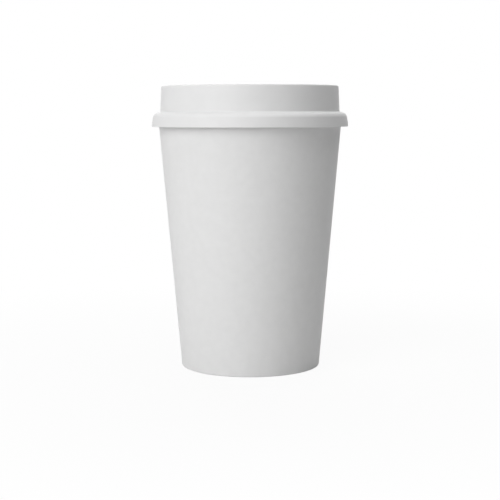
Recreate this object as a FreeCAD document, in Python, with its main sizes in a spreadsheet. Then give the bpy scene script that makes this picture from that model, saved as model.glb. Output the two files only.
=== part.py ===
"""Plain paper hot-drink cup with a press-on plastic lid.

The cup is two pieces of coated paper board. The side wall is a blank wrapped into a
cone, glued along a lap at the back, rolled outward into a bead at the rim and folded
in and up at the foot. The bottom disc is a shallow dished disc whose skirt is glued
between the wall and that fold. The lid is one thin formed sheet: a skirt and a shoulder
that snap over the bead, a drafted dome wall, and a flat top with a sunken well, a
drinking slot and a vent.

Millimetres, Z up. The origin is on the table at the middle of the foot. The lap is at
the back (+Y) and the drinking slot at the front (-Y).
"""
import FreeCAD, Part
import math
import os
import re

import Sketcher

Vector = FreeCAD.Vector

# Driving sizes, in millimetres and degrees
SIZES = {
    "foot_radius": 33.04,      # outside of the wall where its line meets the table
    "wall_taper": 5.0,         # lean of the wall from upright
    "cup_height": 119.67,      # table to the top of the rim bead
    "board": 0.42,             # thickness of the paper board
    "curl_bend": 0.68,         # inside radius of the rolled rim
    "curl_gap": 0.06,          # between the tucked end of the roll and the wall
    "curl_end": 100.0,         # direction of the cut end of the roll, from +X
    "foot_bend": 0.6,          # outside radius of the foot's outer corner
    "fold_bend": 0.35,         # outside radius of the foot's inner corner
    "disc_height": 8.0,        # table to the upper face of the bottom disc
    "disc_bend": 0.4,          # inside radius where the disc turns down
    "fold_gap": 1.0,           # from the cut edge of the foot fold up to the disc's bend
    "lap_width": 7.0,          # flat part of the glued side lap
    "lap_slack": 0.3,          # air beside the inner layer's cut edge
    "lap_ramp": 2.5,           # from that edge to where the outer layer lies flat again
    "lap_gap": 0.3,            # from the top of the lap up to the rim bead
    "lid_sheet": 0.4,          # thickness of the lid's plastic
    "fit_gap": 0.25,           # between the rim bead and the inside of the lid's shoulder
    "seat_angle": 30.0,        # where on the bead the lid comes nearest, above level
    "shoulder_bend": 2.5,      # inside radius of the lid's shoulder
    "lip_flare": 0.45,         # how far the lip stands out beyond the shoulder
    "lip_drop": 3.82,          # from the shoulder's centre down to the lip's cut edge
    "skirt_bulge": 16.6,       # outside radius of the skirt's gentle bulge
    "groove_radius": 0.8,      # hollow where the shoulder meets the dome wall
    "dome_inset": 0.74,        # dome wall's foot inward from the shoulder's centre
    "dome_draft": 2.2,         # lean of the dome wall from upright
    "dome_rise": 12.46,        # lid's top above the shoulder's top
    "dome_bend": 0.4,          # inside radius of the dome's top corner
    "well_radius": 33.5,       # sunken well, at the level of the lid's top
    "well_shift": 4.5,         # well's centre behind the cup's axis
    "well_depth": 5.0,         # lid's top down to the well's floor
    "well_draft": 8.0,         # lean of the well's wall from upright
    "well_lip": 0.5,           # inside radius of the edge at the top of the well
    "well_bend": 1.2,          # hollow round the well's floor
    "slot_length": 15.0,       # drinking slot, side to side
    "slot_width": 5.4,         # drinking slot, front to back
    "vent_radius": 0.6,        # air vent in the well's floor
}

# Places that several pieces share, each worked out once from the driving sizes
BOARD_ACROSS = "(board / cos(wall_taper * 1 deg))"
WALL_SLOPE = "tan(wall_taper * 1 deg)"
BEAD_RADIUS = "(curl_bend + board)"
BEAD_LEVEL = f"(cup_height - {BEAD_RADIUS})"
BEAD_ACROSS = (f"(foot_radius + {BEAD_LEVEL} * {WALL_SLOPE}"
               f" + curl_bend / cos(wall_taper * 1 deg))")
TUCK_MIDDLE = (f"((curl_bend / cos(wall_taper * 1 deg) + (curl_bend + board / 2) * {WALL_SLOPE}"
               f" - curl_gap - board / 2) / (1 + {WALL_SLOPE}))")
FOLD_HEIGHT = "(disc_height - board - disc_bend - fold_gap)"
LAP_FOOT = "foot_bend"
INNER_FOOT = "disc_height"
LAP_HEAD = f"({BEAD_LEVEL} - {BEAD_RADIUS} - lap_gap)"

SEAT_REACH = f"(shoulder_bend - fit_gap - {BEAD_RADIUS})"
SHOULDER_ACROSS = f"({BEAD_ACROSS} - {SEAT_REACH} * cos(seat_angle * 1 deg))"
SHOULDER_LEVEL = f"({BEAD_LEVEL} - {SEAT_REACH} * sin(seat_angle * 1 deg))"
SHOULDER_RADIUS = "(shoulder_bend + lid_sheet)"
SHOULDER_TOP = f"({SHOULDER_LEVEL} + {SHOULDER_RADIUS})"
LIP_LEVEL = f"({SHOULDER_LEVEL} - lip_drop)"
LIP_RADIUS = f"({SHOULDER_ACROSS} + {SHOULDER_RADIUS} + lip_flare)"
DOME_FOOT = f"({SHOULDER_ACROSS} - dome_inset)"
LID_TOP = f"({SHOULDER_TOP} + dome_rise)"
DOME_HEAD = f"({DOME_FOOT} - dome_rise * tan(dome_draft * 1 deg))"
SLOT_PLACE = f"(({DOME_HEAD} - dome_bend - lid_sheet + well_radius - well_shift) / 2)"

doc = FreeCAD.newDocument("paper_cup")
sheet = doc.addObject("Spreadsheet::Sheet", "sizes")
for row, (alias, number) in enumerate(SIZES.items(), start=1):
    sheet.set(f"A{row}", alias)
    sheet.set(f"B{row}", str(number))
    sheet.setAlias(f"B{row}", alias)
doc.recompute()


def value(formula):
    """Number that a formula of the sheet's aliases gives."""
    return float(sheet.evalExpression(formula))


def bind(item, path, formula):
    """Bind a property or a named constraint to a formula of the sheet's aliases."""
    words = "|".join(SIZES)
    item.setExpression(path, re.sub(rf"\b({words})\b", r"sizes.\1", formula))


# A sketch's own numbers for a curve's vertices, and for its two axes
START, END, CENTRE = range(1, 4)
ACROSS_AXIS, UP_AXIS = range(-1, -3, -1)
ORIGIN = (ACROSS_AXIS, START)


class Outline:
    """One constrained sketch of a body, drawn near its place and then sized."""

    def __init__(self, body, name, plane, level=None):
        self.sketch = body.newObject("Sketcher::SketchObject", name)
        support = next(item for item in body.Origin.OriginFeatures if item.Role == plane)
        self.sketch.AttachmentSupport = (support, [""])
        self.sketch.MapMode = "FlatFace"
        if level is not None:
            bind(self.sketch, "AttachmentOffset.Base.z", level)

    def line(self, start, end, guide=False):
        segment = Part.LineSegment(Vector(*start, 0), Vector(*end, 0))
        return self.sketch.addGeometry(segment, guide)

    def arc(self, centre, radius, first, last):
        """Arc that runs counter-clockwise between two directions in degrees."""
        circle = Part.Circle(Vector(*centre, 0), Vector(0, 0, 1), radius)
        turn = Part.ArcOfCircle(circle, math.radians(first), math.radians(last))
        return self.sketch.addGeometry(turn, False)

    def circle(self, centre, radius, guide=False):
        return self.sketch.addGeometry(
            Part.Circle(Vector(*centre, 0), Vector(0, 0, 1), radius), guide)

    def point(self, place):
        return self.sketch.addGeometry(Part.Point(Vector(*place, 0)), True)

    def rule(self, kind, *items):
        self.sketch.addConstraint(Sketcher.Constraint(kind, *items))

    def meet(self, first, second):
        self.rule("Coincident", *first, *second)

    def smooth(self, first, second):
        self.rule("Tangent", *first, *second)

    def size(self, name, formula, kind, *items):
        number = value(formula)
        if kind == "Angle":
            number = math.radians(number)
        index = self.sketch.addConstraint(Sketcher.Constraint(kind, *items, number))
        self.sketch.renameConstraint(index, name)
        bind(self.sketch, f"Constraints.{name}", formula)

    def place(self, name, vertex, across=None, up=None):
        """Hold a vertex at a distance across and up from the origin."""
        if across is not None:
            self.size(f"{name}_across", across, "DistanceX", *ORIGIN, *vertex)
        if up is not None:
            self.size(f"{name}_up", up, "DistanceY", *ORIGIN, *vertex)


def new_body(name):
    body = doc.addObject("PartDesign::Body", name)
    body.Label = name
    return body


def turn(body, kind, name, outline, axis="V_Axis"):
    """Revolve an outline a full turn, adding or cutting."""
    feature = body.newObject(f"PartDesign::{kind}", name)
    feature.Profile = outline.sketch
    feature.ReferenceAxis = (outline.sketch, [axis])
    feature.Angle = 360
    return feature


def wall_line(level):
    """Outside radius of the side wall at a level."""
    return f"(foot_radius + ({level}) * {WALL_SLOPE})"


def sidewall_section(body):
    """Foot fold, wall and rolled rim as one strip of board."""
    lean = value("wall_taper")
    across = value(BOARD_ACROSS)
    board = value("board")
    fold_top = value(FOLD_HEIGHT)
    foot_bend = value("foot_bend")
    fold_bend = value("fold_bend")
    foot = value("foot_radius")
    bead = (value(BEAD_ACROSS), value(BEAD_LEVEL))
    bead_bend = value("curl_bend")
    bead_outer = value(BEAD_RADIUS)
    tuck = value(TUCK_MIDDLE)
    tuck_centre = (bead[0], bead[1] - bead_bend - board / 2 + tuck)
    cut = value("curl_end")

    def wall_at(level, layers=0):
        return (foot + level * math.tan(math.radians(lean)) - layers * across, level)

    def beside(centre, radius, degrees):
        angle = math.radians(degrees)
        return (centre[0] + radius * math.cos(angle), centre[1] + radius * math.sin(angle))

    draw = Outline(body, "sidewall_section", "XZ_Plane")
    outer_corner = draw.arc((foot - foot_bend, foot_bend), foot_bend, 270, 360 - lean)
    outer_face = draw.line(wall_at(foot_bend), beside(bead, bead_bend, 180 - lean))
    curl_inside = draw.arc(bead, bead_bend, -90, 180 - lean)
    tuck_inside = draw.arc(tuck_centre, tuck - board / 2, cut, 270)
    cut_end = draw.line(beside(tuck_centre, tuck - board / 2, cut),
                        beside(tuck_centre, tuck + board / 2, cut))
    tuck_outside = draw.arc(tuck_centre, tuck + board / 2, cut, 270)
    curl_outside = draw.arc(bead, bead_outer, -90, 180 - lean)
    inner_face = draw.line(beside(bead, bead_outer, 180 - lean), wall_at(board, 1))
    slot_floor = draw.line(wall_at(board, 1), wall_at(board, 2))
    fold_outside = draw.line(wall_at(board, 2), wall_at(fold_top, 2))
    fold_cut = draw.line(wall_at(fold_top, 2), wall_at(fold_top, 3))
    fold_inside = draw.line(wall_at(fold_top, 3), wall_at(fold_bend, 3))
    fold_across = foot - 3 * across + fold_bend
    inner_corner = draw.arc((fold_across, fold_bend), fold_bend, 180 - lean, 270)
    foot_face = draw.line((fold_across, 0), (foot - foot_bend, 0))
    foot_point = draw.point((foot, 0))

    draw.smooth((foot_face, END), (outer_corner, START))
    draw.smooth((outer_corner, END), (outer_face, START))
    draw.smooth((outer_face, END), (curl_inside, END))
    draw.smooth((curl_inside, START), (tuck_inside, END))
    draw.meet((tuck_inside, START), (cut_end, START))
    draw.meet((cut_end, END), (tuck_outside, START))
    draw.meet((tuck_outside, END), (curl_outside, START))
    draw.smooth((curl_outside, END), (inner_face, START))
    draw.meet((inner_face, END), (slot_floor, START))
    draw.meet((slot_floor, END), (fold_outside, START))
    draw.meet((fold_outside, END), (fold_cut, START))
    draw.meet((fold_cut, END), (fold_inside, START))
    draw.smooth((fold_inside, END), (inner_corner, START))
    draw.smooth((inner_corner, END), (foot_face, START))

    draw.meet((curl_outside, CENTRE), (curl_inside, CENTRE))
    draw.meet((tuck_outside, CENTRE), (tuck_inside, CENTRE))
    draw.rule("Vertical", curl_inside, CENTRE, curl_inside, START)
    draw.rule("Vertical", tuck_outside, CENTRE, tuck_outside, END)
    draw.rule("PointOnObject", tuck_inside, CENTRE, cut_end)
    draw.rule("Parallel", outer_face, inner_face)
    draw.rule("Parallel", outer_face, fold_outside)
    draw.rule("Parallel", outer_face, fold_inside)
    for level_line in (slot_floor, fold_cut, foot_face):
        draw.rule("Horizontal", level_line)
    draw.rule("PointOnObject", foot_face, START, ACROSS_AXIS)
    draw.rule("PointOnObject", foot_point, START, ACROSS_AXIS)
    draw.rule("PointOnObject", foot_point, START, outer_face)

    draw.place("foot_point", (foot_point, START), across="foot_radius")
    draw.place("bead", (curl_inside, CENTRE), up=BEAD_LEVEL)
    draw.place("slot_floor", (slot_floor, START), up="board")
    draw.place("fold_cut", (fold_cut, START), up=FOLD_HEIGHT)
    draw.size("wall_angle", "90 - wall_taper", "Angle", outer_face)
    draw.size("cut_angle", "curl_end", "Angle", cut_end)
    draw.size("curl_inside", "curl_bend", "Radius", curl_inside)
    draw.size("curl_outside", BEAD_RADIUS, "Radius", curl_outside)
    draw.size("tuck_inside", f"{TUCK_MIDDLE} - board / 2", "Radius", tuck_inside)
    draw.size("outer_corner", "foot_bend", "Radius", outer_corner)
    draw.size("inner_corner", "fold_bend", "Radius", inner_corner)
    draw.size("slot_across", BOARD_ACROSS, "DistanceX", slot_floor, END, slot_floor, START)
    draw.size("fold_across", BOARD_ACROSS, "DistanceX", fold_cut, END, fold_cut, START)
    return draw


def seam_outline(body, name, level, face, edge_side):
    """Level cut through a raised strip on a face of the wall.

    The strip starts at a square edge, half the lap's width to one side of the middle,
    and ends in a ramp. Its base runs a little under the face.
    """
    surface = value(face)
    outside = surface + value("board")
    buried = surface - value("board") / 2
    edge_across = edge_side * value("lap_width") / 2
    ramp_across = -value("lap_width") / 2 - value("lap_slack")
    toe_across = -value("lap_width") / 2 - value("lap_ramp")

    def direction(radius, across):
        return math.degrees(math.acos(across / radius))

    def on_circle(radius, degrees):
        angle = math.radians(degrees)
        return (radius * math.cos(angle), radius * math.sin(angle))

    edge = direction(outside, edge_across)
    ramp_head = direction(outside, ramp_across)
    toe_turn = direction(surface, toe_across)
    draw = Outline(body, name, "XY_Plane", level)
    top = draw.arc((0, 0), outside, edge, ramp_head)
    base = draw.arc((0, 0), buried, edge, toe_turn)
    cut = draw.line(on_circle(buried, edge), on_circle(outside, edge))
    ramp = draw.line(on_circle(outside, ramp_head), on_circle(surface, toe_turn))
    toe = draw.line(on_circle(surface, toe_turn), on_circle(buried, toe_turn))
    skin = draw.circle((0, 0), surface, guide=True)

    for round_line in (top, base, skin):
        draw.meet((round_line, CENTRE), ORIGIN)
    draw.meet((base, START), (cut, START))
    draw.meet((cut, END), (top, START))
    draw.meet((top, END), (ramp, START))
    draw.meet((ramp, END), (toe, START))
    draw.meet((toe, END), (base, END))
    draw.rule("PointOnObject", *ORIGIN, cut)
    draw.rule("PointOnObject", *ORIGIN, toe)
    draw.rule("PointOnObject", toe, START, skin)
    draw.size("top_radius", f"{face} + board", "Radius", top)
    draw.size("base_radius", f"{face} - board / 2", "Radius", base)
    draw.size("skin_radius", face, "Radius", skin)
    if edge_side > 0:
        draw.size("edge", "lap_width / 2", "DistanceX", *ORIGIN, top, START)
    else:
        draw.size("edge", "lap_width / 2", "DistanceX", top, START, *ORIGIN)
    draw.size("ramp_head", "lap_width / 2 + lap_slack", "DistanceX", top, END, *ORIGIN)
    draw.size("ramp_foot", "lap_width / 2 + lap_ramp", "DistanceX", toe, START, *ORIGIN)
    return draw


def seam_strip(body, kind, name, levels, layers, edge_side):
    """Straight strip along the wall between two levels, added or cut away."""
    outlines = []
    for end, level in zip(("foot", "head"), levels):
        face = f"({wall_line(level)} - {layers} * {BOARD_ACROSS})"
        outlines.append(seam_outline(body, f"{name}_{end}", level, face, edge_side))
    strip = body.newObject(f"PartDesign::{kind}", name)
    strip.Profile = outlines[0].sketch
    strip.Sections = [outlines[1].sketch]
    strip.Ruled = True


def make_sidewall():
    """The wall, its outer layer raised over the lap, and the inner layer's cut edge."""
    body = new_body("sidewall")
    turn(body, "Revolution", "wall", sidewall_section(body))
    seam_strip(body, "AdditiveLoft", "lap", (LAP_FOOT, LAP_HEAD), 0, 1)
    seam_strip(body, "SubtractiveLoft", "inner_edge", (INNER_FOOT, LAP_HEAD), 1, -1)
    return body


def make_bottom_disc():
    """Disc with a down-turned skirt that fills the pocket of the foot fold."""
    body = new_body("bottom_disc")
    lean = value("wall_taper")
    slope = math.tan(math.radians(lean))
    across = value(BOARD_ACROSS)
    board = value("board")
    inside = value("disc_bend")
    top = value("disc_height")
    outside = inside + board
    foot = value("foot_radius") - across
    centre_up = top - outside
    centre = (foot + centre_up * slope - outside / math.cos(math.radians(lean)), centre_up)
    turn_foot = (foot + centre_up * slope, centre_up)

    draw = Outline(body, "disc_section", "XZ_Plane")
    upper = draw.line((0, top), (centre[0], top))
    bend_outside = draw.arc(centre, outside, -lean, 90)
    skirt_outside = draw.line(turn_foot, (foot + board * slope, board))
    skirt_edge = draw.line((foot + board * slope, board),
                           (foot + board * slope - across, board))
    skirt_inside = draw.line((foot + board * slope - across, board),
                             (turn_foot[0] - across, centre_up))
    bend_inside = draw.arc(centre, inside, -lean, 90)
    lower = draw.line((centre[0], top - board), (0, top - board))
    middle = draw.line((0, top - board), (0, top))
    wall_point = draw.point((foot, 0))

    draw.smooth((upper, END), (bend_outside, END))
    draw.smooth((bend_outside, START), (skirt_outside, START))
    draw.meet((skirt_outside, END), (skirt_edge, START))
    draw.meet((skirt_edge, END), (skirt_inside, START))
    draw.smooth((skirt_inside, END), (bend_inside, START))
    draw.smooth((bend_inside, END), (lower, START))
    draw.meet((lower, END), (middle, START))
    draw.meet((middle, END), (upper, START))
    draw.meet((bend_inside, CENTRE), (bend_outside, CENTRE))
    for level_line in (upper, skirt_edge, lower):
        draw.rule("Horizontal", level_line)
    draw.rule("PointOnObject", upper, START, UP_AXIS)
    draw.rule("PointOnObject", lower, END, UP_AXIS)
    draw.rule("Parallel", skirt_outside, skirt_inside)
    draw.rule("PointOnObject", wall_point, START, ACROSS_AXIS)
    draw.rule("PointOnObject", wall_point, START, skirt_outside)
    draw.place("wall_point", (wall_point, START), across=f"foot_radius - {BOARD_ACROSS}")
    draw.place("upper", (upper, START), up="disc_height")
    draw.place("skirt_edge", (skirt_edge, START), up="board")
    draw.size("bend_outside", "disc_bend + board", "Radius", bend_outside)
    draw.size("bend_inside", "disc_bend", "Radius", bend_inside)
    draw.size("skirt_angle", "90 - wall_taper", "Angle", skirt_inside)
    turn(body, "Revolution", "disc", draw)
    return body


def lid_section(body):
    """Skirt, shoulder, groove, dome wall and a closed flat top as one sheet."""
    sheet_thick = value("lid_sheet")
    shoulder = (value(SHOULDER_ACROSS), value(SHOULDER_LEVEL))
    shoulder_in = value("shoulder_bend")
    shoulder_out = value(SHOULDER_RADIUS)
    lip = (value(LIP_RADIUS), value(LIP_LEVEL))
    bulge = value("skirt_bulge")
    bulge_centre = (lip[0] - bulge, lip[1])
    groove = value("groove_radius")
    draft = value("dome_draft")
    lean = math.radians(draft)
    top = value(LID_TOP)
    foot = value(DOME_FOOT)
    head = value(DOME_HEAD)
    corner = value("dome_bend")
    corner_out = corner + sheet_thick
    groove_across = foot + groove
    groove_centre = (groove_across, shoulder[1] + math.sqrt(
        (shoulder_out + groove) ** 2 - (groove_across - shoulder[0]) ** 2))
    groove_turn = 180 + math.degrees(math.atan2(groove_centre[1] - shoulder[1],
                                                groove_centre[0] - shoulder[0]))
    crease = math.degrees(math.asin((shoulder[1] - lip[1]) / bulge))
    shoulder_foot = 2
    corner_centre = (head - corner_out, top - corner_out)
    normal = (math.cos(lean), math.sin(lean))

    def along(centre, radius):
        return (centre[0] + radius * normal[0], centre[1] + radius * normal[1])

    draw = Outline(body, "lid_section", "XZ_Plane")
    skirt_out = draw.arc(bulge_centre, bulge, 0, crease)
    round_out = draw.arc(shoulder, shoulder_out, shoulder_foot, groove_turn - 180)
    groove_out = draw.arc(groove_centre, groove, 180 + draft, groove_turn)
    dome_out = draw.line(along(groove_centre, -groove), along(corner_centre, corner_out))
    corner_out_arc = draw.arc(corner_centre, corner_out, draft, 90)
    top_out = draw.line((corner_centre[0], top), (0, top))
    middle = draw.line((0, top), (0, top - sheet_thick))
    top_in = draw.line((0, top - sheet_thick), (corner_centre[0], top - sheet_thick))
    corner_in_arc = draw.arc(corner_centre, corner, draft, 90)
    dome_in = draw.line(along(corner_centre, corner),
                        along(groove_centre, -groove - sheet_thick))
    groove_in = draw.arc(groove_centre, groove + sheet_thick, 180 + draft, groove_turn)
    round_in = draw.arc(shoulder, shoulder_in, shoulder_foot, groove_turn - 180)
    skirt_in = draw.arc(bulge_centre, bulge - sheet_thick, 0, crease)
    lip_cut = draw.line((lip[0] - sheet_thick, lip[1]), lip)

    draw.meet((lip_cut, END), (skirt_out, START))
    draw.meet((skirt_out, END), (round_out, START))
    draw.smooth((round_out, END), (groove_out, END))
    draw.smooth((groove_out, START), (dome_out, START))
    draw.smooth((dome_out, END), (corner_out_arc, START))
    draw.smooth((corner_out_arc, END), (top_out, START))
    draw.meet((top_out, END), (middle, START))
    draw.meet((middle, END), (top_in, START))
    draw.smooth((top_in, END), (corner_in_arc, END))
    draw.smooth((corner_in_arc, START), (dome_in, START))
    draw.smooth((dome_in, END), (groove_in, START))
    draw.smooth((groove_in, END), (round_in, END))
    draw.meet((round_in, START), (skirt_in, END))
    draw.meet((skirt_in, START), (lip_cut, START))

    draw.meet((skirt_in, CENTRE), (skirt_out, CENTRE))
    draw.meet((round_in, CENTRE), (round_out, CENTRE))
    draw.meet((groove_in, CENTRE), (groove_out, CENTRE))
    draw.meet((corner_in_arc, CENTRE), (corner_out_arc, CENTRE))
    draw.rule("Horizontal", skirt_out, CENTRE, skirt_out, START)
    draw.rule("Horizontal", lip_cut)
    draw.rule("Horizontal", top_out)
    draw.rule("Horizontal", top_in)
    draw.rule("Parallel", dome_out, dome_in)
    draw.rule("PointOnObject", top_out, END, UP_AXIS)
    draw.rule("PointOnObject", top_in, START, UP_AXIS)
    draw.place("shoulder", (round_out, CENTRE), across=SHOULDER_ACROSS, up=SHOULDER_LEVEL)
    draw.place("lip", (skirt_out, START), across=LIP_RADIUS, up=LIP_LEVEL)
    draw.place("groove", (groove_out, CENTRE), across=f"{DOME_FOOT} + groove_radius")
    draw.place("top", (top_out, END), up=LID_TOP)
    draw.size("skirt_radius", "skirt_bulge", "Radius", skirt_out)
    draw.size("skirt_within", "skirt_bulge - lid_sheet", "Radius", skirt_in)
    draw.size("shoulder_outside", SHOULDER_RADIUS, "Radius", round_out)
    draw.size("shoulder_inside", "shoulder_bend", "Radius", round_in)
    draw.size("groove_radius", "groove_radius", "Radius", groove_out)
    draw.size("corner_outside", "dome_bend + lid_sheet", "Radius", corner_out_arc)
    draw.size("dome_angle", "90 + dome_draft", "Angle", dome_out)
    return draw


def well_sections(body):
    """Round hole in the flat top, and the dished sheet that fills it, off centre."""
    sheet_thick = value("lid_sheet")
    top = value(LID_TOP)
    floor = top - value("well_depth")
    axis = value("well_shift")
    rim = axis + value("well_radius")
    draft = value("well_draft")
    lean = math.radians(draft)
    lip = value("well_lip")
    lip_out = lip + sheet_thick
    hollow = value("well_bend")
    lip_centre = (rim, top - lip_out)
    run = (top - lip_out) - (floor + hollow)
    reach = (lip_out + hollow) / math.cos(lean) + run * math.tan(lean)
    hollow_centre = (rim - reach, floor + hollow)
    normal = (math.cos(lean), -math.sin(lean))

    def along(centre, radius):
        return (centre[0] + radius * normal[0], centre[1] + radius * normal[1])

    hole = Outline(body, "well_hole", "YZ_Plane")
    corners = [(axis, top), (rim, top), (rim, top - sheet_thick), (axis, top - sheet_thick)]
    sides = [hole.line(a, b) for a, b in zip(corners, corners[1:] + corners[:1])]
    for first, second in zip(sides, sides[1:] + sides[:1]):
        hole.meet((first, END), (second, START))
    hole.rule("Horizontal", sides[0])
    hole.rule("Vertical", sides[1])
    hole.rule("Horizontal", sides[2])
    hole.rule("Vertical", sides[3])
    hole.place("corner", (sides[0], START), across="well_shift", up=LID_TOP)
    hole.size("hole_radius", "well_radius", "DistanceX", sides[0], START, sides[0], END)
    hole.size("hole_depth", "lid_sheet", "DistanceY", sides[1], END, sides[1], START)

    dish = Outline(body, "well_dish", "YZ_Plane")
    seam = dish.line((rim, top - sheet_thick), (rim, top))
    lip_upper = dish.arc(lip_centre, lip_out, 90, 180 - draft)
    wall_upper = dish.line(along(lip_centre, -lip_out), along(hollow_centre, hollow))
    bend_upper = dish.arc(hollow_centre, hollow, 270, 360 - draft)
    floor_upper = dish.line((hollow_centre[0], floor), (axis, floor))
    middle = dish.line((axis, floor), (axis, floor - sheet_thick))
    floor_lower = dish.line((axis, floor - sheet_thick),
                            (hollow_centre[0], floor - sheet_thick))
    bend_lower = dish.arc(hollow_centre, hollow + sheet_thick, 270, 360 - draft)
    wall_lower = dish.line(along(hollow_centre, hollow + sheet_thick),
                           along(lip_centre, -lip))
    lip_lower = dish.arc(lip_centre, lip, 90, 180 - draft)

    dish.meet((seam, END), (lip_upper, START))
    dish.smooth((lip_upper, END), (wall_upper, START))
    dish.smooth((wall_upper, END), (bend_upper, END))
    dish.smooth((bend_upper, START), (floor_upper, START))
    dish.meet((floor_upper, END), (middle, START))
    dish.meet((middle, END), (floor_lower, START))
    dish.smooth((floor_lower, END), (bend_lower, START))
    dish.smooth((bend_lower, END), (wall_lower, START))
    dish.smooth((wall_lower, END), (lip_lower, END))
    dish.meet((lip_lower, START), (seam, START))
    dish.meet((lip_lower, CENTRE), (lip_upper, CENTRE))
    dish.meet((bend_lower, CENTRE), (bend_upper, CENTRE))
    dish.rule("Vertical", seam)
    dish.rule("Vertical", lip_upper, CENTRE, seam, END)
    dish.rule("Vertical", middle)
    dish.rule("Horizontal", floor_upper)
    dish.rule("Horizontal", floor_lower)
    dish.rule("Parallel", wall_upper, wall_lower)
    dish.place("seam", (seam, END), across="well_shift + well_radius", up=LID_TOP)
    dish.place("floor", (floor_upper, END), across="well_shift", up=f"{LID_TOP} - well_depth")
    dish.size("lip_outside", "well_lip + lid_sheet", "Radius", lip_upper)
    dish.size("lip_inside", "well_lip", "Radius", lip_lower)
    dish.size("bend_radius", "well_bend", "Radius", bend_upper)
    dish.size("wall_angle", "270 - well_draft", "Angle", wall_upper)
    return hole, dish


def well_axis(outline):
    """Upright guide line through the well's centre, used as an axis to turn about."""
    shift = value("well_shift")
    axis = outline.line((shift, 0), (shift, value(LID_TOP)), guide=True)
    outline.rule("Vertical", axis)
    outline.rule("PointOnObject", axis, START, ACROSS_AXIS)
    outline.place("axis_foot", (axis, START), across="well_shift")
    outline.place("axis_head", (axis, END), up=LID_TOP)
    return "Axis0"


def slot_outline(body):
    """Drinking slot with round ends, in the middle of the wide part of the land."""
    half = value("slot_width") / 2
    reach = value("slot_length") / 2 - half
    place = -value(SLOT_PLACE)
    draw = Outline(body, "slot_outline", "XY_Plane", LID_TOP)
    right = draw.arc((reach, place), half, -90, 90)
    back = draw.line((reach, place + half), (-reach, place + half))
    left = draw.arc((-reach, place), half, 90, 270)
    front = draw.line((-reach, place - half), (reach, place - half))
    draw.smooth((right, END), (back, START))
    draw.smooth((back, END), (left, START))
    draw.smooth((left, END), (front, START))
    draw.smooth((front, END), (right, START))
    draw.rule("Horizontal", back)
    draw.rule("Symmetric", right, CENTRE, left, CENTRE, UP_AXIS)
    draw.size("end_radius", "slot_width / 2", "Radius", right)
    draw.size("between_ends", "slot_length - slot_width", "DistanceX",
              left, CENTRE, right, CENTRE)
    draw.size("slot_place", SLOT_PLACE, "DistanceY", right, CENTRE, *ORIGIN)
    return draw


def vent_outline(body):
    draw = Outline(body, "vent_outline", "XY_Plane", LID_TOP)
    vent = draw.circle((0, value("well_shift")), value("vent_radius"))
    draw.rule("PointOnObject", vent, CENTRE, UP_AXIS)
    draw.place("vent", (vent, CENTRE), up="well_shift")
    draw.size("vent_radius", "vent_radius", "Radius", vent)
    return draw


def cut_down(body, name, outline, depth):
    """Cut straight down from the level of the lid's top."""
    pocket = body.newObject("PartDesign::Pocket", name)
    pocket.Profile = outline.sketch
    bind(pocket, "Length", depth)
    return pocket


def make_lid():
    body = new_body("lid")
    turn(body, "Revolution", "shell", lid_section(body))
    hole, dish = well_sections(body)
    turn(body, "Groove", "well_opening", hole, well_axis(hole))
    turn(body, "Revolution", "well", dish, well_axis(dish))
    cut_down(body, "drinking_slot", slot_outline(body), "2 * lid_sheet")
    cut_down(body, "vent", vent_outline(body), "well_depth + 2 * lid_sheet")
    return body


def check(bodies):
    """Stop before anything is written if a feature failed or a solid is unsound."""
    for item in doc.Objects:
        failed = {"Invalid", "Error"} & set(item.State)
        if failed:
            raise RuntimeError(f"{item.Name} is {', '.join(sorted(failed))}")
        if item.isDerivedFrom("Sketcher::SketchObject") and item.solve() != 0:
            raise RuntimeError(f"{item.Name} has rules that don't agree")
    for body in bodies:
        shape = body.Shape
        if shape.isNull() or not shape.isValid() or len(shape.Solids) != 1:
            raise RuntimeError(f"{body.Label} is not one sound solid")


def check_cuts(lid):
    """Each cut of the lid has to take material away."""
    volumes = [feature.Shape.Volume for feature in lid.Group
               if feature.isDerivedFrom("PartDesign::Feature")]
    shell, opened, welled, slotted, vented = volumes
    if not (opened < shell and slotted < welled and vented < slotted):
        raise RuntimeError("a cut of the lid took nothing away")


sidewall = make_sidewall()
bottom_disc = make_bottom_disc()
lid = make_lid()
doc.recompute()
check([sidewall, bottom_disc, lid])
check_cuts(lid)

os.makedirs("parts", exist_ok=True)
for body in (sidewall, bottom_disc, lid):
    body.Shape.exportStep(f"parts/{body.Label}.step")
    box = body.Shape.optimalBoundingBox()
    print(f"{body.Label}: {body.Shape.Volume:.1f} mm3, {box.XLength:.2f} x {box.YLength:.2f}"
          f" x {box.ZLength:.2f} mm, z {box.ZMin:.2f} to {box.ZMax:.2f}")
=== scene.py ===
"""Looks of the plain paper hot-drink cup and its press-on lid, in metres, Z up.

Each CAD solid is replaced by a fine mesh with the same section: the wrapped wall with its
glued lap, rolled rim and folded foot, the bottom disc with its turned-down skirt, and the
formed lid with its well, drinking slot and vent.
"""

import math

import bmesh
import bpy
from mathutils import Matrix, Vector


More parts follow.
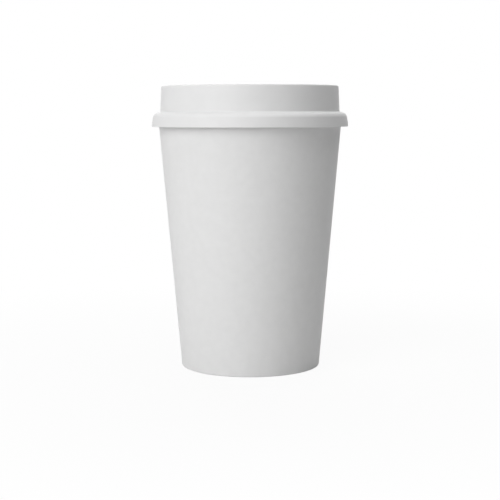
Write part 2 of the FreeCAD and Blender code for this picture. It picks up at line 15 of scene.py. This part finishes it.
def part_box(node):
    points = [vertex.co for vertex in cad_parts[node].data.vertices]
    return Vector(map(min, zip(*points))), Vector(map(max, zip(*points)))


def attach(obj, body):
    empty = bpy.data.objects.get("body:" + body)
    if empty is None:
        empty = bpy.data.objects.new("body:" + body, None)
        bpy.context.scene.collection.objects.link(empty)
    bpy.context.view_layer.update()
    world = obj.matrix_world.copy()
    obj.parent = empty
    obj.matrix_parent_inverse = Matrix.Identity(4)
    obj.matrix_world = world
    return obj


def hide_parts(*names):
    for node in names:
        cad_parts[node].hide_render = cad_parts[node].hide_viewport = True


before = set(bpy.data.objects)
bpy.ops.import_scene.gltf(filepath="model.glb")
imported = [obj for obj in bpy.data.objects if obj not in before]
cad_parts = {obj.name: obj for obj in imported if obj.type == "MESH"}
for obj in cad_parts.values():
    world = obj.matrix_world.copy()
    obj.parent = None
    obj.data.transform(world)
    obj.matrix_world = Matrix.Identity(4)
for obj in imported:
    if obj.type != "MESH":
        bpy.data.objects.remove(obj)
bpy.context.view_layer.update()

MM = 0.001

# Fineness of the meshes: columns round a full turn, degrees of an arc, length of a line,
# steps down the lap's ramp and over a hole's rounded edge
COLUMNS = 360
ARC_STEP = 9.0
LINE_STEP = 9 * MM
RAMP_STEPS = 6
HOLE_STEPS = 3

# Vertices nearer to each other than this are joined, and bends past this angle stay sharp
WELD = 0.0005 * MM
SHARP_ANGLE = math.radians(35.0)

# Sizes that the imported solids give. The disc's skirt ends one board above the table.
wall_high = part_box("sidewall")[1]
disc_low, disc_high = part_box("bottom_disc")
lid_low, lid_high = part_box("lid")
RIM_TOP = wall_high.z
RIM_RADIUS = wall_high.x
DISC_TOP = disc_high.z
BOARD = disc_low.z
LIP_LEVEL = lid_low.z
LIP_RADIUS = lid_high.x
LID_TOP = lid_high.z

# Folds and bends of the cup, as on the solids. The two bends of the foot are measured on
# their outer side, those of the rim and the disc on their inner side.
TAPER = math.radians(5.0)
CURL_BEND = 0.68 * MM
CURL_GAP = 0.06 * MM
CURL_END = 100.0
FOOT_BEND = 0.6 * MM
FOLD_BEND = 0.35 * MM
DISC_BEND = 0.4 * MM
FOLD_GAP = 1.0 * MM

# The glued lap: its width, the ramp that fades it, and its share in the rim and the foot
LAP_WIDTH = 7.0 * MM
LAP_SLACK = 0.3 * MM
LAP_RAMP = 2.5 * MM
LAP_IN_RIM = 0.25
LAP_IN_FOOT = 0.4
LAP_FADE = 1.2 * MM
LAP_RIGHT = LAP_WIDTH / 2
LAP_LEFT = -LAP_WIDTH / 2 - LAP_RAMP

# Ridges that the crimping tool leaves in the inner face of the foot fold
KNURL_DEPTH = 0.07 * MM
KNURL_MARGIN = 0.8 * MM
KNURLS = 72

# The lid, from its lip up to the dome and down into the well. Its bends are measured on
# their inner side.
LID_SHEET = 0.4 * MM
SHOULDER_BEND = 2.5 * MM
LIP_FLARE = 0.45 * MM
LIP_DROP = 3.82 * MM
LIP_ROUND = 0.12 * MM
SKIRT_BULGE = 16.6 * MM
GROOVE = 0.8 * MM
DOME_INSET = 0.74 * MM
DOME_DRAFT = math.radians(2.2)
DOME_BEND = 0.4 * MM
WELL_RADIUS = 33.5 * MM
WELL_SHIFT = 4.5 * MM
WELL_DEPTH = 5.0 * MM
WELL_DRAFT = math.radians(8.0)
WELL_LIP = 0.5 * MM
WELL_BEND = 1.2 * MM
SLOT_LENGTH = 15.0 * MM
SLOT_WIDTH = 5.4 * MM
VENT_RADIUS = 0.6 * MM
HOLE_ROUND = 0.1 * MM

# Narrow level strip beside each bend, which keeps the flat face next to it shaded flat
HOLD = 0.25 * MM

# Boards counted inward at the foot: to the inside of the wall, the disc's skirt, the fold
WALL_IN, SKIRT_IN, FOLD_IN = 1, 2, 3

# Finishes by material index, of the wall's mesh and of the disc's
OUTSIDE, COATED, CUT = 0, 1, 2
DISC_COATED, DISC_PLAIN = 0, 1


def spread(first, last, steps):
    """Evenly spaced values from first to last, both included."""
    return [first + (last - first) * k / steps for k in range(steps + 1)]


def arc(centre, radius, first, last):
    """Points on a circle from one direction to another, in degrees."""
    steps = math.ceil(abs(last - first) / ARC_STEP)
    turns = [math.radians(degrees) for degrees in spread(first, last, steps)]
    return [(centre[0] + radius * math.cos(a), centre[1] + radius * math.sin(a)) for a in turns]


def line(start, end):
    """Points strictly between two ends."""
    steps = math.ceil(math.dist(start, end) / LINE_STEP)
    shares = spread(0, 1, steps)[1:-1]
    return [(start[0] + (end[0] - start[0]) * s, start[1] + (end[1] - start[1]) * s)
            for s in shares]


def bridge(bm, first, second):
    """Quads between two closed loops of as many vertices."""
    count = len(first)
    for k in range(count):
        after = (k + 1) % count
        bm.faces.new((first[k], first[after], second[after], second[k]))


def fill(bm, loops):
    """Level triangles between an outer loop and the loops inside it."""
    edges = [bm.edges.get(ends) for loop in loops for ends in zip(loop, loop[1:] + loop[:1])]
    bmesh.ops.triangle_fill(bm, use_beauty=True, edges=edges)


def ring(bm, radius, level, middle=0.0):
    """Closed loop of vertices round an axis at Y = middle."""
    turns = [2 * math.pi * k / COLUMNS for k in range(COLUMNS)]
    return [bm.verts.new((radius * math.cos(a), middle + radius * math.sin(a), level))
            for a in turns]


def revolve(bm, profile, middle=0.0):
    """Rings through a profile of radii and levels, bridged, and its two end rings."""
    rings = [ring(bm, radius, level, middle) for radius, level in profile]
    for first, second in zip(rings, rings[1:]):
        bridge(bm, first, second)
    return rings[0], rings[-1]


def cap(bm, loop, level, finish):
    """Triangles from a loop to a point on the axis."""
    tip = bm.verts.new((0, 0, level))
    for start, end in zip(loop, loop[1:] + loop[:1]):
        bm.faces.new((start, end, tip)).material_index = finish


def finished_piece(bm, name, node, body, materials):
    """Turn a closed mesh outward, shade it smooth, and put it in its node's place."""
    bmesh.ops.recalc_face_normals(bm, faces=bm.faces)
    mesh = bpy.data.meshes.new(name)
    bm.to_mesh(mesh)
    bm.free()
    mesh.polygons.foreach_set("use_smooth", [True] * len(mesh.polygons))
    mesh.set_sharp_from_angle(angle=SHARP_ANGLE)
    for material in materials:
        mesh.materials.append(material)
    piece = bpy.data.objects.new(name, mesh)
    bpy.context.scene.collection.objects.link(piece)
    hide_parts(node)
    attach(piece, body)


# Shared lines of the cup
BOARD_ACROSS = BOARD / math.cos(TAPER)
BEAD_OUTER = CURL_BEND + BOARD
BEAD = (RIM_RADIUS - BEAD_OUTER, RIM_TOP - BEAD_OUTER)
FOOT_RADIUS = BEAD[0] - CURL_BEND / math.cos(TAPER) - BEAD[1] * math.tan(TAPER)
FOLD_HEIGHT = DISC_TOP - BOARD - DISC_BEND - FOLD_GAP


def wall_at(level, boards=0):
    """Radius of the wall's outside at a level, or of a face some boards further in."""
    return FOOT_RADIUS + level * math.tan(TAPER) - boards * BOARD_ACROSS


def on_wall(level, boards=0):
    """Point of the section on the wall's outside, or on a face some boards further in."""
    return (wall_at(level, boards), level)


class Section:
    """Closed outline of the wall: points, the finish of each strip, and the lap's share."""

    def __init__(self):
        self.points = []

    def add(self, points, finish, outer=0.0, inner=0.0, knurl=0.0):
        """Add points with the shares of the outer layer, the inner layer and the ridges."""
        for radius, level in points:
            self.points.append((radius, level, finish, outer, inner, knurl))


def wall_section():
    """From the foot up the outside, round the rim, down the inside and into the fold."""
    lean = math.degrees(TAPER)
    # Radius at mid-sheet of the curl's last turn, which brings its end close to the wall
    tuck = ((CURL_BEND / math.cos(TAPER) + (CURL_BEND + BOARD / 2) * math.tan(TAPER)
             - CURL_GAP - BOARD / 2) / (1 + math.tan(TAPER)))
    tuck_centre = (BEAD[0], BEAD[1] - CURL_BEND - BOARD / 2 + tuck)
    outer_foot = (wall_at(FOOT_BEND) - FOOT_BEND / math.cos(TAPER), FOOT_BEND)
    inner_foot = (wall_at(FOLD_BEND, FOLD_IN) + FOLD_BEND / math.cos(TAPER), FOLD_BEND)
    lap_foot = on_wall(LAP_FADE)
    lap_head = on_wall(BEAD[1] - BEAD_OUTER - LAP_FADE)
    inner_head = on_wall(BEAD[1] - LAP_FADE, WALL_IN)
    inner_end = on_wall(DISC_TOP, WALL_IN)
    knurl_head = on_wall(FOLD_HEIGHT - KNURL_MARGIN, FOLD_IN)
    knurl_end = on_wall(KNURL_MARGIN, FOLD_IN)
    foot = arc(outer_foot, FOOT_BEND, 270, 360 - lean)
    section = Section()
    section.add(foot[:1], OUTSIDE)
    section.add(foot[1:], OUTSIDE, outer=LAP_IN_FOOT)
    section.add([lap_foot] + line(lap_foot, lap_head) + [lap_head], OUTSIDE, outer=1.0)
    section.add(arc(BEAD, CURL_BEND, 180 - lean, -90), OUTSIDE)
    section.add(arc(tuck_centre, tuck - BOARD / 2, 270, CURL_END)[1:], OUTSIDE)
    section.add(arc(tuck_centre, tuck + BOARD / 2, CURL_END, 270), COATED)
    section.add(arc(BEAD, BEAD_OUTER, -90, 180 - lean)[1:], COATED, outer=LAP_IN_RIM)
    section.add([inner_head] + line(inner_head, inner_end) + [inner_end], COATED, inner=1.0)
    section.add([inner_end, on_wall(BOARD, WALL_IN)], COATED)
    section.add([on_wall(BOARD, SKIRT_IN), on_wall(FOLD_HEIGHT, SKIRT_IN)], COATED)
    section.add([on_wall(FOLD_HEIGHT, FOLD_IN)], CUT)
    section.add([knurl_head, knurl_end], OUTSIDE, knurl=1.0)
    section.add(arc(inner_foot, FOLD_BEND, 180 - lean, 270), OUTSIDE)
    return section


def lap_columns():
    """Places round the wall: distance along the lap or share of the rest, and lifts.

    The outer layer starts at a square cut edge, runs over the lap and comes down a
    ramp. Inside, the inner layer ends in a square edge at the head of that ramp.
    """
    half = LAP_WIDTH / 2
    columns = [("lap", half, 0.0, 0.0), ("lap", half, 1.0, 0.0)]
    columns += [("lap", x, 1.0, 0.0) for x in spread(half / 2, -half / 2, 2)]
    columns += [("lap", -half, 1.0, 0.0), ("lap", -half, 1.0, 1.0)]
    for share in spread(0, 1, RAMP_STEPS):
        lift = 0.5 + 0.5 * math.cos(math.pi * share)
        place = -half - LAP_SLACK - (LAP_RAMP - LAP_SLACK) * share
        columns.append(("lap", place, lift, lift))
    columns += [("rest", k / COLUMNS, 0.0, 0.0) for k in range(1, COLUMNS)]
    return columns


def column_angle(kind, place, radius):
    """Direction of a column where the wall has a radius. The lap is at +Y, the back."""
    if kind == "lap":
        return math.pi / 2 - place / radius
    rest = 2 * math.pi - (LAP_RIGHT - LAP_LEFT) / radius
    return math.pi / 2 - LAP_LEFT / radius + place * rest


def make_cup_wall(materials):
    """The wrapped wall: its section at each column, lifted where the lap is double."""
    section = wall_section().points
    bm = bmesh.new()
    grid = []
    for kind, place, outer_lift, inner_lift in lap_columns():
        strip = []
        for radius, level, _, outer, inner, knurl in section:
            angle = column_angle(kind, place, wall_at(level))
            out = radius + BOARD * (outer * outer_lift + inner * inner_lift)
            out += knurl * KNURL_DEPTH * math.cos(KNURLS * angle)
            strip.append(bm.verts.new((out * math.cos(angle), out * math.sin(angle), level)))
        grid.append(strip)
    count = len(section)
    for strip, following in zip(grid, grid[1:] + grid[:1]):
        for k in range(count):
            after = (k + 1) % count
            corners = (strip[k], following[k], following[after], strip[after])
            bm.faces.new(corners).material_index = section[after][2]
    bmesh.ops.remove_doubles(bm, verts=bm.verts, dist=WELD)
    finished_piece(bm, "cup_wall", "sidewall", "cup", materials)


def make_cup_bottom(materials):
    """Bottom disc with its skirt turned down between the wall and the foot fold."""
    lean = math.degrees(TAPER)
    outside = DISC_BEND + BOARD
    level = DISC_TOP - outside
    centre = (wall_at(level, WALL_IN) - outside / math.cos(TAPER), level)
    bm = bmesh.new()
    upper = [(centre[0] - HOLD, DISC_TOP)] + arc(centre, outside, 90, -lean)
    upper.append(on_wall(BOARD, WALL_IN))
    lower = [on_wall(BOARD, SKIRT_IN)] + arc(centre, DISC_BEND, -lean, 90)
    lower.append((centre[0] - HOLD, DISC_TOP - BOARD))
    first, last = revolve(bm, upper + lower)
    cap(bm, first, DISC_TOP, DISC_COATED)
    cap(bm, last, DISC_TOP - BOARD, DISC_PLAIN)
    finished_piece(bm, "cup_bottom", "bottom_disc", "cup", materials)


# Shared lines of the lid
SHOULDER_OUT = SHOULDER_BEND + LID_SHEET
SHOULDER = (LIP_RADIUS - LIP_FLARE - SHOULDER_OUT, LIP_LEVEL + LIP_DROP)
DOME_FOOT = SHOULDER[0] - DOME_INSET
DOME_RISE = LID_TOP - SHOULDER[1] - SHOULDER_OUT
DOME_HEAD = DOME_FOOT - DOME_RISE * math.tan(DOME_DRAFT)
DOME_CORNER = (DOME_HEAD - DOME_BEND - LID_SHEET, LID_TOP - DOME_BEND - LID_SHEET)
WELL_FLOOR = LID_TOP - WELL_DEPTH


def circles_meet(first, first_radius, second, second_radius):
    """The outer of the two points where two circles meet."""
    gap = Vector(second) - Vector(first)
    along = (gap.length_squared + first_radius ** 2 - second_radius ** 2) / (2 * gap.length)
    aside = math.sqrt(first_radius ** 2 - along ** 2)
    ahead = gap.normalized()
    across = Vector((ahead.y, -ahead.x))
    places = [Vector(first) + ahead * along + across * aside * way for way in (1, -1)]
    return max(places, key=lambda place: place.x)


def lid_side(inward):
    """Section of the lid's side from the lip to the top, a distance in from outside."""
    bulge = SKIRT_BULGE - inward
    bulge_centre = (LIP_RADIUS - SKIRT_BULGE, LIP_LEVEL)
    shoulder = SHOULDER_OUT - inward
    groove = GROOVE + inward
    across = DOME_FOOT + GROOVE - SHOULDER[0]
    up = math.sqrt((SHOULDER_OUT + GROOVE) ** 2 - across ** 2)
    groove_centre = (SHOULDER[0] + across, SHOULDER[1] + up)
    groove_turn = math.degrees(math.atan2(up, across))
    draft = math.degrees(DOME_DRAFT)
    crease = circles_meet(bulge_centre, bulge, SHOULDER, shoulder)
    skirt_top = math.degrees(math.atan2(crease[1] - LIP_LEVEL, crease[0] - bulge_centre[0]))
    shoulder_low = math.degrees(math.atan2(crease[1] - SHOULDER[1], crease[0] - SHOULDER[0]))
    lip_turn = math.degrees(LIP_ROUND / bulge)
    skirt = arc(bulge_centre, bulge, lip_turn, skirt_top)
    over = arc(SHOULDER, shoulder, shoulder_low, groove_turn)[1:]
    into = arc(groove_centre, groove, groove_turn + 180, 180 + draft)[1:]
    corner = arc(DOME_CORNER, DOME_BEND + LID_SHEET - inward, draft, 90)
    wall = line(into[-1], corner[0])
    land = [(DOME_CORNER[0] - HOLD, LID_TOP - inward)]
    return skirt + over + into + wall + corner + land


def well_side(inward):
    """Section of the well from the land to its floor, a distance below the surface."""
    draft = math.degrees(WELL_DRAFT)
    lip_radius = WELL_LIP + LID_SHEET - inward
    bend_radius = WELL_BEND + inward
    lip_centre = (WELL_RADIUS, LID_TOP - WELL_LIP - LID_SHEET)
    run = lip_centre[1] - (WELL_FLOOR + WELL_BEND)
    reach = ((WELL_LIP + LID_SHEET + WELL_BEND) / math.cos(WELL_DRAFT)
             + run * math.tan(WELL_DRAFT))
    bend_centre = (WELL_RADIUS - reach, WELL_FLOOR + WELL_BEND)
    edge = arc(lip_centre, lip_radius, 90, 180 - draft)
    bend = arc(bend_centre, bend_radius, 360 - draft, 270)
    wall = line(edge[-1], bend[0])
    land = [(WELL_RADIUS + HOLD, LID_TOP - inward)]
    middle = [(bend_centre[0] - HOLD, WELL_FLOOR - inward)]
    return land + edge + wall + bend + middle


def slot_outline(grow):
    """Round-ended slot in the middle of the land's wide part, grown outward."""
    place = -(DOME_CORNER[0] + WELL_RADIUS - WELL_SHIFT) / 2
    reach = (SLOT_LENGTH - SLOT_WIDTH) / 2
    radius = SLOT_WIDTH / 2 + grow
    right = arc((reach, place), radius, -90, 90)
    left = arc((-reach, place), radius, 90, 270)
    return right + left


def vent_outline(grow):
    """Round vent in the middle of the well's floor, grown outward."""
    full_turn = arc((0, WELL_SHIFT), VENT_RADIUS + grow, 0, 360)
    return full_turn[:-1]


def make_hole(bm, outline, level):
    """Edges of a hole through the sheet: its loops at the top and at the underside."""
    rounded = [(HOLE_ROUND * (1 - math.sin(a)), HOLE_ROUND * (1 - math.cos(a)))
               for a in spread(0, math.pi / 2, HOLE_STEPS)]
    above = [(HOLE_ROUND + HOLD, 0)] + rounded
    steps = [(grow, level - drop) for grow, drop in above]
    steps += [(grow, level - LID_SHEET + drop) for grow, drop in reversed(above)]
    loops = [[bm.verts.new((x, y, z)) for x, y in outline(grow)] for grow, z in steps]
    for first, second in zip(loops, loops[1:]):
        bridge(bm, first, second)
    return loops[0], loops[-1]


def make_lid(materials):
    """The formed sheet: side and well on both of its faces, joined at lip and holes."""
    bm = bmesh.new()
    lip_out, land_out = revolve(bm, lid_side(0))
    lip_in, land_in = revolve(bm, lid_side(LID_SHEET))
    edge_radii = (LIP_RADIUS - LIP_ROUND, LIP_RADIUS - LID_SHEET + LIP_ROUND)
    edge_out, edge_in = [ring(bm, radius, LIP_LEVEL) for radius in edge_radii]
    bridge(bm, lip_out, edge_out)
    bridge(bm, edge_out, edge_in)
    bridge(bm, edge_in, lip_in)
    well_out, floor_out = revolve(bm, well_side(0), WELL_SHIFT)
    well_in, floor_in = revolve(bm, well_side(LID_SHEET), WELL_SHIFT)
    slot_top, slot_under = make_hole(bm, slot_outline, LID_TOP)
    vent_top, vent_under = make_hole(bm, vent_outline, WELL_FLOOR)
    fill(bm, [land_out, well_out, slot_top])
    fill(bm, [land_in, well_in, slot_under])
    fill(bm, [floor_out, vent_top])
    fill(bm, [floor_in, vent_under])
    finished_piece(bm, "cup_lid", "lid", "lid", materials)


# The part of the noise's range that carries its variation
NOISE_LOW = 0.3
NOISE_HIGH = 0.7


class Nodes:
    """A material's node tree with short calls to add and join its nodes."""

    def __init__(self, name):
        self.material = bpy.data.materials.new(name)
        self.material.use_nodes = True
        self.tree = self.material.node_tree
        self.shader = self.tree.nodes["Principled BSDF"]
        self.place = self.tree.nodes.new("ShaderNodeTexCoord").outputs["Object"]

    def add(self, kind, **settings):
        """New node with its settings."""
        node = self.tree.nodes.new(kind)
        for key, setting in settings.items():
            setattr(node, key, setting)
        return node

    def join(self, source, target):
        """Link an output to an input."""
        self.tree.links.new(source, target)

    def noise(self, scale, detail, roughness=0.5, stretch=(1, 1, 1)):
        """Noise over the object's own coordinates, scale in features a metre."""
        mapping = self.add("ShaderNodeMapping")
        mapping.inputs["Scale"].default_value = stretch
        self.join(self.place, mapping.inputs["Vector"])
        texture = self.add("ShaderNodeTexNoise")
        texture.inputs["Scale"].default_value = scale
        texture.inputs["Detail"].default_value = detail
        texture.inputs["Roughness"].default_value = roughness
        self.join(mapping.outputs["Vector"], texture.inputs["Vector"])
        return texture.outputs["Fac"]

    def between(self, source, low, high):
        """Map noise onto a range of numbers."""
        node = self.add("ShaderNodeMapRange")
        node.inputs["From Min"].default_value = NOISE_LOW
        node.inputs["From Max"].default_value = NOISE_HIGH
        node.inputs["To Min"].default_value = low
        node.inputs["To Max"].default_value = high
        self.join(source, node.inputs["Value"])
        return node.outputs["Result"]

    def shades(self, source, dark, light):
        """Blend two colours by noise, into the base colour."""
        node = self.add("ShaderNodeMix", data_type="RGBA")
        self.join(self.between(source, 0.0, 1.0), node.inputs["Factor"])
        node.inputs["A"].default_value = (*dark, 1)
        node.inputs["B"].default_value = (*light, 1)
        self.join(node.outputs["Result"], self.shader.inputs["Base Color"])

    def gloss(self, source, low, high, ior):
        """Roughness between two values by noise, and the index of refraction."""
        self.join(self.between(source, low, high), self.shader.inputs["Roughness"])
        self.shader.inputs["IOR"].default_value = ior

    def relief(self, layers):
        """Chain of bumps, each a noise and its depth in metres."""
        normal = None
        for source, depth in layers:
            bump = self.add("ShaderNodeBump")
            bump.inputs["Strength"].default_value = 1.0
            bump.inputs["Distance"].default_value = depth
            self.join(source, bump.inputs["Height"])
            if normal is not None:
                self.join(normal, bump.inputs["Normal"])
            normal = bump.outputs["Normal"]
        self.join(normal, self.shader.inputs["Normal"])


def board_outside():
    """Uncoated face of the board: matt, very smooth, with a faint fibre grain."""
    nodes = Nodes("board_outside")
    cloud = nodes.noise(260, detail=4)
    fibre = nodes.noise(1500, detail=5, roughness=0.6, stretch=(1, 1, 0.45))
    nodes.shades(cloud, (0.772, 0.772, 0.770), (0.795, 0.795, 0.793))
    nodes.gloss(fibre, 0.56, 0.68, ior=1.45)
    nodes.relief([(cloud, 0.012 * MM), (fibre, 0.006 * MM)])
    return nodes.material


def board_coated():
    """Inner face of the board under its thin waterproof film: smoother and glossier."""
    nodes = Nodes("board_coated")
    cloud = nodes.noise(300, detail=4)
    fibre = nodes.noise(1300, detail=4, roughness=0.55, stretch=(1, 1, 0.5))
    nodes.shades(cloud, (0.765, 0.762, 0.755), (0.790, 0.788, 0.782))
    nodes.gloss(cloud, 0.36, 0.44, ior=1.5)
    nodes.relief([(cloud, 0.006 * MM), (fibre, 0.002 * MM)])
    return nodes.material


def board_cut():
    """Raw cut edge of the board, rougher and a little warmer."""
    nodes = Nodes("board_cut")
    fibre = nodes.noise(2600, detail=5, roughness=0.65)
    nodes.shades(fibre, (0.70, 0.685, 0.655), (0.78, 0.77, 0.75))
    nodes.shader.inputs["Roughness"].default_value = 0.85
    nodes.relief([(fibre, 0.03 * MM)])
    return nodes.material


def lid_plastic():
    """White formed sheet: satin, faintly wavy, with the fine grain of its mould."""
    nodes = Nodes("lid_plastic")
    cloud = nodes.noise(180, detail=3)
    grain = nodes.noise(2200, detail=3)
    nodes.shades(cloud, (0.767, 0.767, 0.767), (0.782, 0.782, 0.782))
    nodes.gloss(grain, 0.50, 0.58, ior=1.45)
    nodes.relief([(cloud, 0.02 * MM), (grain, 0.002 * MM)])
    return nodes.material


def seen_plainly(tree):
    """1 for camera, mirror and glass rays, which see the white background, else 0."""
    light_path = tree.nodes.new("ShaderNodeLightPath")
    seen = light_path.outputs["Is Camera Ray"]
    for name in ("Is Glossy Ray", "Is Transmission Ray"):
        more = tree.nodes.new("ShaderNodeMath")
        more.operation = "MAXIMUM"
        tree.links.new(seen, more.inputs[0])
        tree.links.new(light_path.outputs[name], more.inputs[1])
        seen = more.outputs["Value"]
    return seen


# The floor's size and finish, and its share of plain white at two distances from its middle
FLOOR_RADIUS = 3.0
FLOOR_SIDES = 96
FLOOR_COLOUR = 0.75
FLOOR_ROUGHNESS = 0.9
FLOOR_REACH = (0.08, 0.30)
FLOOR_WHITE = (0.92, 1.0)
WHITE = (1, 1, 1, 1)


def make_floor():
    """Pale floor that keeps the cup's soft shadow and runs out to plain white."""
    bpy.ops.mesh.primitive_circle_add(vertices=FLOOR_SIDES, radius=FLOOR_RADIUS,
                                      fill_type="TRIFAN")
    floor = bpy.context.object
    floor.name = "floor"
    nodes = Nodes("floor_white")
    shader = nodes.shader
    shader.inputs["Base Color"].default_value = (FLOOR_COLOUR, FLOOR_COLOUR, FLOOR_COLOUR, 1)
    shader.inputs["Roughness"].default_value = FLOOR_ROUGHNESS
    white = nodes.add("ShaderNodeEmission")
    white.inputs["Color"].default_value = WHITE
    distance = nodes.add("ShaderNodeVectorMath", operation="LENGTH")
    nodes.join(nodes.place, distance.inputs[0])
    fade = nodes.add("ShaderNodeMapRange", interpolation_type="SMOOTHSTEP")
    for end, reach, white_share in zip(("Min", "Max"), FLOOR_REACH, FLOOR_WHITE):
        fade.inputs["From " + end].default_value = reach
        fade.inputs["To " + end].default_value = white_share
    nodes.join(distance.outputs["Value"], fade.inputs["Value"])
    share = nodes.add("ShaderNodeMath", operation="MULTIPLY")
    nodes.join(seen_plainly(nodes.tree), share.inputs[0])
    nodes.join(fade.outputs["Result"], share.inputs[1])
    mix = nodes.add("ShaderNodeMixShader")
    nodes.join(share.outputs["Value"], mix.inputs["Fac"])
    nodes.join(shader.outputs["BSDF"], mix.inputs[1])
    nodes.join(white.outputs["Emission"], mix.inputs[2])
    nodes.join(mix.outputs["Shader"], nodes.tree.nodes["Material Output"].inputs["Surface"])
    floor.data.materials.append(nodes.material)


def make_world():
    """Plain white where the background shows. The lamps alone light the object."""
    world = bpy.data.worlds.new("studio")
    bpy.context.scene.world = world
    world.use_nodes = True
    tree = world.node_tree
    background = tree.nodes["Background"]
    background.inputs["Color"].default_value = WHITE
    tree.links.new(seen_plainly(tree), background.inputs["Strength"])


# The point that the lamps face, and how far from it they stand
AIM = Vector((0, 0, 0.07))
LAMP_DISTANCE = 1.2


def soft_box(name, azimuth, elevation, width, watts):
    """Square area lamp aimed at the cup. Azimuth 0 is the camera's side, 90 is +X."""
    turn = math.radians(azimuth)
    rise = math.radians(elevation)
    away = Vector((math.sin(turn) * math.cos(rise), -math.cos(turn) * math.cos(rise),
                   math.sin(rise)))
    lamp = bpy.data.lights.new(name, "AREA")
    lamp.shape = "SQUARE"
    lamp.size = width
    lamp.energy = watts
    box = bpy.data.objects.new(name, lamp)
    box.location = AIM + away * LAMP_DISTANCE
    box.rotation_euler = away.to_track_quat("Z", "Y").to_euler()
    bpy.context.scene.collection.objects.link(box)


def make_lights():
    """A large key at the front left, a weak low lamp at the left, two above, one behind."""
    soft_box("key", azimuth=-36, elevation=27, width=1.1, watts=11.3)
    soft_box("side", azimuth=-115, elevation=12, width=0.7, watts=0.8)
    soft_box("top", azimuth=25, elevation=80, width=0.8, watts=4.9)
    soft_box("top_right", azimuth=120, elevation=65, width=0.7, watts=2.1)
    soft_box("back", azimuth=180, elevation=45, width=0.8, watts=5.5)


# Camera, as fitted to the photo's outline, with its turns in degrees
FOCAL_PIXELS = 1239.7
FRAME_PIXELS = 500
SENSOR_MM = 36.0
CAMERA_BACK = 591.6 * MM
CAMERA_UP = 121.0 * MM
CAMERA_ASIDE = -0.14 * MM
CAMERA_DOWN = 6.35
CAMERA_ROLL = 0.14


def make_camera():
    """Camera in front of the cup, looking down a little and rolled as in the photo."""
    lens = bpy.data.cameras.new("camera")
    lens.sensor_width = SENSOR_MM
    lens.lens = FOCAL_PIXELS * SENSOR_MM / FRAME_PIXELS
    camera = bpy.data.objects.new("camera", lens)
    camera.location = (CAMERA_ASIDE, -CAMERA_BACK, CAMERA_UP)
    pitch = Matrix.Rotation(math.radians(90 - CAMERA_DOWN), 3, "X")
    roll = Matrix.Rotation(math.radians(-CAMERA_ROLL), 3, "Z")
    camera.rotation_euler = (pitch @ roll).to_euler()
    bpy.context.scene.collection.objects.link(camera)
    bpy.context.scene.camera = camera


outside = board_outside()
coated = board_coated()
make_cup_wall([outside, coated, board_cut()])
make_cup_bottom([coated, outside])
make_lid([lid_plastic()])
make_floor()
make_world()
make_lights()
make_camera()
bpy.context.scene.view_settings.view_transform = "Standard"
